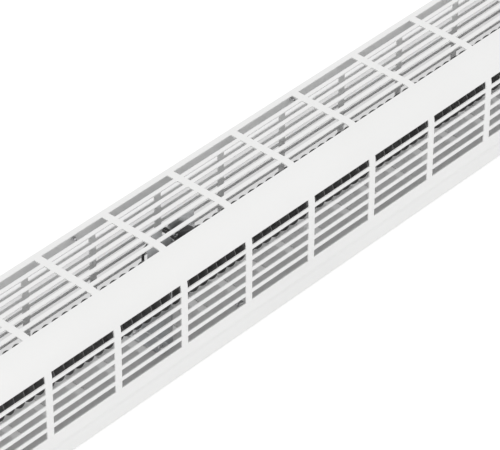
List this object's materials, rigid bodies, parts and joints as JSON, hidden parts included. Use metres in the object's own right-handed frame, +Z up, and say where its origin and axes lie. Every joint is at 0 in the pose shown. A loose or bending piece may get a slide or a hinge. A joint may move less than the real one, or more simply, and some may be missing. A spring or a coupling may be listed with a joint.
{
  "type": "plinth convector heater",
  "caption": "Long low convector heater with a white slotted steel cover, rounded front edge, finned element, rotary heat control and rocker switch.",
  "frame": {"origin": "middle of the footprint, on the floor under the feet", "axes": "+X along the heater towards the control end, +Y to the rear, +Z up"},
  "size_m": [1.02, 0.1018, 0.11],
  "materials": {
    "white_enamel": "satin white powder coat",
    "white_cap": "satin white moulding",
    "tray_steel": "satin light grey coat",
    "panel_white": "satin white coat",
    "rubber": "matt black",
    "element_steel": "heat-dulled steel",
    "black_fin": "matt heat-proof black",
    "ceramic": "unglazed ceramic",
    "zinc_steel": "zinc plated",
    "brass": "plain",
    "black_moulding": "matt black moulding",
    "screw_steel": "bright plated",
    "dial_white": "satin printed plate",
    "rocker_black": "glossy black",
    "block_cream": "cream moulding",
    "brown_wire": "sleeved wire",
    "blue_wire": "sleeved wire",
    "green_wire": "sleeved wire",
    "black_wire": "sleeved wire"
  },
  "bodies": {
    "casing": {"cover": "white_enamel", "rear_panel": "panel_white", "base_tray": "tray_steel", "left_end_cap": "white_cap", "right_end_cap": "white_cap", "foot_pads": "rubber", "element_tube": "element_steel", "element_fins": "black_fin", "tube_bushes": "ceramic", "element_bracket_left": "zinc_steel", "element_bracket_middle": "zinc_steel", "element_bracket_right": "zinc_steel", "division_plate": "zinc_steel", "wire_grommet": "rubber", "terminal_insulators": "ceramic", "terminal_pins": "brass", "terminal_nuts": "brass", "cutout_bracket": "zinc_steel", "thermal_cutout": "black_moulding", "cutout_screws": "screw_steel", "thermostat_body": "black_moulding", "thermostat_nut": "screw_steel", "dial_plate": "dial_white", "switch_housing": "black_moulding", "spade_tabs": "brass", "terminal_block": "block_cream", "terminal_screws": "screw_steel", "earth_stud": "brass", "earth_nut": "brass", "live_wire": "brown_wire", "switched_wire": "brown_wire", "neutral_wire": "blue_wire", "earth_wire": "green_wire", "cutout_wires": "black_wire", "cable_bush": "black_moulding", "cap_screws": "screw_steel", "cover_screws": "screw_steel", "bracket_screws": "screw_steel", "panel_rivets": "screw_steel", "bond_screw": "screw_steel"},
    "control_dial": {"control_knob": "white_cap", "thermostat_shaft": "screw_steel"},
    "switch_rocker": {"rocker": "rocker_black"}
  },
  "joints": [
    {"name": "dial_turn", "type": "hinge", "parent": "casing", "child": "control_dial", "pos_m": [0.45, -0.0369, 0.059], "axis": [0, 1, 0], "range_deg": [-135, 135]},
    {"name": "rocker_tilt", "type": "hinge", "parent": "casing", "child": "switch_rocker", "pos_m": [0.489, -0.0329, 0.059], "axis": [1, 0, 0], "range_deg": [-16, 0]}
  ]
}
